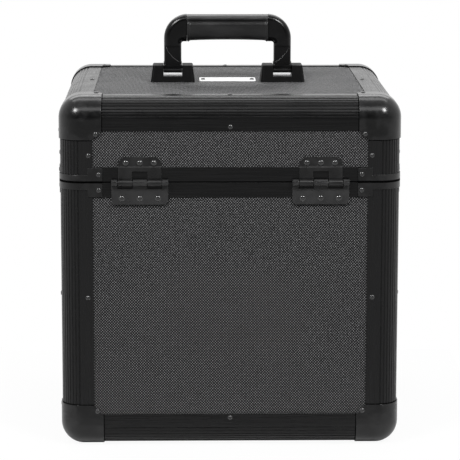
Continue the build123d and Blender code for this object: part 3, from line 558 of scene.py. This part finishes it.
BAIL_BLACK = (0.0015, 0.0015, 0.0016)
BAIL_WORN = (0.012, 0.012, 0.0123)
BRACKET_BLACK = (0.0006, 0.0006, 0.0007)
BRACKET_RUBBED = (0.006, 0.006, 0.0062)
BRACKET_GRAIN = 0.00012
RUBBER_BLACK = (0.0022, 0.0022, 0.0023)
RUBBER_WIPED = (0.0075, 0.0075, 0.0077)
PEBBLES_PER_METRE = 1400.0
PEBBLE_DEPTH = 0.00006

moulded = Finish("handle_moulding", Specular_IOR_Level=0.28)
flow = moulded.grain(0.008)
pore = moulded.grain(0.0009, detail=2.0)
normal = moulded.softened(0.0006)
paler = moulded.edges(normal) * 0.4 + flow.eased(0.4, 0.8, 0, 0.2)
moulded.show(
    Base_Color=moulded.tint(paler, BAIL_BLACK, BAIL_WORN),
    Roughness=flow.eased(0.3, 0.7, 0.18, 0.26),
    Normal=moulded.relief(pore, depth=0.00001, over=normal),
)
dress(moulded.material, "handle_bail")

grained = Finish("bracket_moulding", Specular_IOR_Level=0.06)
pits = grained.grain(0.0011)
rub = grained.grain(0.009)
normal = grained.softened(0.0007)
paler = grained.edges(normal) * 0.5 + rub.eased(0.4, 0.8, 0, 0.25)
grained.show(
    Base_Color=grained.tint(paler, BRACKET_BLACK, BRACKET_RUBBED),
    Roughness=rub.eased(0.3, 0.7, 0.45, 0.55),
    Normal=grained.relief(pits, BRACKET_GRAIN, over=normal),
)
dress(grained.material, "handle_brackets")
dress(coated, "handle_pins")
dress(plated.material, "handle_straps")

rubber = Finish("grip_rubber", Specular_IOR_Level=0.55)
pebble = rubber.node("ShaderNodeTexVoronoi", {}, {"Vector": rubber.place(), "Scale": PEBBLES_PER_METRE})
wipe = rubber.grain(0.01, stretch=(0.35, 1, 1))
rubber.show(
    Base_Color=rubber.tint(wipe.eased(0.35, 0.7), RUBBER_BLACK, RUBBER_WIPED),
    Roughness=wipe.eased(0.3, 0.7, 0.3, 0.42),
    Normal=rubber.relief(pebble, PEBBLE_DEPTH),
)

# Half the sleeve's section, outwards from its middle and up, as shares of its half size
SLEEVE = (
    (0.0, 1.0), (0.4, 0.99), (0.68, 0.93), (0.82, 0.84), (0.87, 0.74), (0.88, 0.63), (0.85, 0.57),
    (0.85, 0.45), (0.87, 0.41), (0.965, 0.385), (0.995, 0.33), (1.0, 0.15), (0.99, -0.2),
    (0.95, -0.55), (0.9, -0.8), (0.8, -0.95), (0.6, -1.0), (0.3, -1.0), (0.0, -1.0),
)
# How far the sleeve's skin lies inside its outline, at each distance from its end
LIP = ((0.0, 0.0014), (0.0003, 0.0005), (0.001, 0.0), (0.0022, 0.0), (0.0029, 0.0009), (0.004, 0.0012))
# The flat top, above TOP_BAND of the half height, lies in by TOP_INSET all along
TOP_BAND = 0.6
TOP_INSET = 0.0003
ARCH = 0.0009
BODY_STATIONS = 11


def sleeve(name, low, high):
    """The soft sleeve: a lofted skin with a lip at each end and an arched underside."""
    middle, half = (low + high) / 2, (high - low) / 2
    end, inset = LIP[-1]
    body = [(half.x - end) * (1 - 2 * i / BODY_STATIONS) for i in range(1, BODY_STATIONS)]
    stations = [(half.x - from_end, depth) for from_end, depth in LIP]
    stations += [(x, inset) for x in body]
    stations += [(-x, depth) for x, depth in reversed(stations[:len(LIP)])]
    ring = [(out, up) for out, up in SLEEVE] + [(-out, up) for out, up in SLEEVE[-2:0:-1]]
    form = bmesh.new()
    loops = []
    for x, depth in stations:
        lift = ARCH * (1 - (x / half.x) ** 2)
        loop = []
        for out, up in ring:
            sunk = TOP_INSET if up > TOP_BAND else depth
            y = out * (half.y - sunk)
            z = up * (half.z - sunk) - min(up, 0) * lift
            loop.append(form.verts.new((middle.x + x, middle.y + y, middle.z + z)))
        loops.append(loop)
    for first, second in zip(loops, loops[1:]):
        for i, corner in enumerate(first):
            j = (i + 1) % len(first)
            form.faces.new((corner, first[j], second[j], second[i]))
    form.faces.new(loops[0][::-1])
    form.faces.new(loops[-1])
    bmesh.ops.recalc_face_normals(form, faces=form.faces)
    for face in form.faces:
        face.smooth = len(face.verts) == 4
    mesh = bpy.data.meshes.new(name)
    form.to_mesh(mesh)
    form.free()
    return added(name, mesh)


grip = sleeve("grip_sleeve", *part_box("handle_grip"))
grip.data.materials.append(rubber.material)
smoothing = grip.modifiers.new("smoothing", "SUBSURF")
smoothing.levels = smoothing.render_levels = 2
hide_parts("handle_grip")
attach(grip, "handle")

# The fine raised mould line that crosses the lower half of each leg, from its outer edge inwards
MOULD_LINE = ((0.0665, 0.4035), (0.0655, 0.3985), (0.0631, 0.3952), (0.0583, 0.3896), (0.0522, 0.3855))
LINE_HALF = 0.00035
LEG_FACE = 0.006
LINE_BLACK = (0.015, 0.015, 0.0153)
LINE_HIGHLIGHT = (0.07, 0.07, 0.071)

line_form = bpy.data.curves.new("line_form", "CURVE")
line_form.dimensions = "3D"
line_form.bevel_depth = LINE_HALF
line_form.bevel_resolution = 2
bail_low, bail_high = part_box("handle_bail")
bail_middle = (bail_low.y + bail_high.y) / 2
for side_x in (-1, 1):
    for face in (-1, 1):
        run = line_form.splines.new("NURBS")
        run.points.add(len(MOULD_LINE) - 1)
        for point, (x, z) in zip(run.points, MOULD_LINE):
            point.co = (side_x * x, bail_middle + face * LEG_FACE, z, 1)
        run.order_u = 3
        run.use_endpoint_u = True
drawn = added("drawn_lines", line_form)
raised = settled(drawn)
bpy.data.objects.remove(drawn)
lines = added("mould_lines", raised)
# The line is painted far paler than the bail, a painted highlight for the light its raised crest catches.
painted_light = Finish("rubbed_mould_line", Specular_IOR_Level=0.4)
streak = painted_light.grain(0.004)
painted_light.show(
    Base_Color=painted_light.tint(streak.eased(0.35, 0.7), LINE_BLACK, LINE_HIGHLIGHT),
    Roughness=streak.eased(0.3, 0.7, 0.25, 0.4),
)
raised.materials.append(painted_light.material)
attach(lines, "handle")


# ---------------------------------------------------------------- nameplate
# A blank plate of bare aluminium that lies on the top panel, level with the flanges, with a
# rivet at each end. Its satin finish is brushed along its length.

SATIN_DARK = (0.78, 0.78, 0.78)
SATIN_BRIGHT = (0.92, 0.92, 0.92)

satin = Finish("satin_plate", Metallic=1.0)
brush = satin.grain(0.0004, detail=2.0, stretch=(0.03, 1, 1))
satin.show(
    Base_Color=satin.tint(brush, SATIN_DARK, SATIN_BRIGHT),
    Roughness=brush.eased(0.3, 0.7, 0.3, 0.42),
    Normal=satin.relief(brush, depth=0.00001, over=satin.softened(0.0003)),
)
dress(satin.material, "nameplate")


# ---------------------------------------------------------------- floor, light and camera
# A small pale floor in a white surround. One lamp hangs overhead, one behind, a broad one
# high in front, and two small ones in front make the round highlights on the upper caps.

WHITE = (1, 1, 1, 1)
FLOOR_GREY = (0.8, 0.8, 0.8, 1)
SEEN_WHITE = 0.94
FLOOR_HALF = 0.28
FLOOR_GAP = 0.0003

paper = Finish("pale_floor", Base_Color=FLOOR_GREY, Roughness=0.9, Specular_IOR_Level=0.1)
white = paper.node("ShaderNodeEmission", {}, {"Color": WHITE, "Strength": 1.0})
seen = paper.node("ShaderNodeLightPath", output="Is Camera Ray") * SEEN_WHITE
matt = Signal(paper, paper.shader.outputs[0])
mixed = paper.node("ShaderNodeMixShader", {}, {0: seen, 1: matt, 2: white})
paper.feed(paper.tree.nodes["Material Output"], {"Surface": mixed})

mesh = bpy.data.meshes.new("floor")
corners = [(x * FLOOR_HALF, y * FLOOR_HALF, -FLOOR_GAP) for x, y in ((-1, -1), (1, -1), (1, 1), (-1, 1))]
mesh.from_pydata(corners, [], [(0, 1, 2, 3)])
mesh.materials.append(paper.material)
floor = added("floor", mesh)

# The surround's strength as light on the case, and in mirrored rays in front of it and low there
DAYLIGHT = 0.36
ROOM = 0.06
LOW = 0.52

surround = bpy.data.worlds.new("surround")
surround.use_nodes = True
bpy.context.scene.world = surround
sky = Wiring(surround.node_tree)
seen, glossy, through = (
    sky.node("ShaderNodeLightPath", output=f"Is {kind} Ray") for kind in ("Camera", "Glossy", "Transmission")
)
way = sky.node("ShaderNodeTexCoord", output="Generated")
behind = sky.node("ShaderNodeSeparateXYZ", {}, {"Vector": way}, "Y").eased(-1.1, 0.3)
height = sky.node("ShaderNodeSeparateXYZ", {}, {"Vector": way}, "Z")
ahead = (1 - behind) * height.eased(-0.15, 0.02, 1, 0)
mirror = glossy + through
bright = seen + mirror * (behind * (1 - ROOM) + ahead * LOW + ROOM) + (1 - seen - mirror) * DAYLIGHT
sky.feed(sky.tree.nodes["Background"], {"Color": WHITE, "Strength": bright})

# Place, width, depth, radiance and spread of each lamp
LAMPS = {
    "overhead": ((0.0, 0.28, 1.75), 2.0, 0.4, 3.0, pi),
    "behind": ((0.0, 1.2, 1.5), 2.0, 0.6, 2.8, pi),
    "front_high": ((0.0, -1.6, 1.9), 2.0, 0.6, 2.7, pi),
    "front_left": ((-1.28, -1.66, 1.87), 0.62, 0.62, 3.1, 0.9),
    "front_right": ((1.2, -1.71, 1.87), 0.62, 0.62, 3.1, 0.9),
}
AIM = Vector((0, 0, 0.25))
for name, (place, width, depth, radiance, spread) in LAMPS.items():
    lamp = bpy.data.lights.new(name, "AREA")
    lamp.shape = "RECTANGLE"
    lamp.size = width
    lamp.size_y = depth
    lamp.energy = radiance * pi * width * depth
    lamp.spread = spread
    holder = added(name, lamp)
    holder.location = place
    holder.rotation_euler = (AIM - Vector(place)).to_track_quat("-Z", "Y").to_euler()
    holder.visible_camera = False

STAND = (-0.0479, -2.5769, 0.6526)
PITCH_DOWN = 0.1743
YAW = 0.0198
ROLL = 0.0012
LENS = 185.8
SIGHT_LIMIT = 60.0

eye = bpy.data.cameras.new("camera")
eye.lens = LENS
eye.clip_end = SIGHT_LIMIT
camera = added("camera", eye)
aim = Vector((sin(YAW) * cos(PITCH_DOWN), cos(YAW) * cos(PITCH_DOWN), -sin(PITCH_DOWN)))
camera.rotation_mode = "QUATERNION"
camera.rotation_quaternion = aim.to_track_quat("-Z", "Y") @ Quaternion((0, 0, 1), ROLL)
camera.location = STAND
bpy.context.scene.camera = camera
bpy.context.scene.view_settings.view_transform = "Standard"
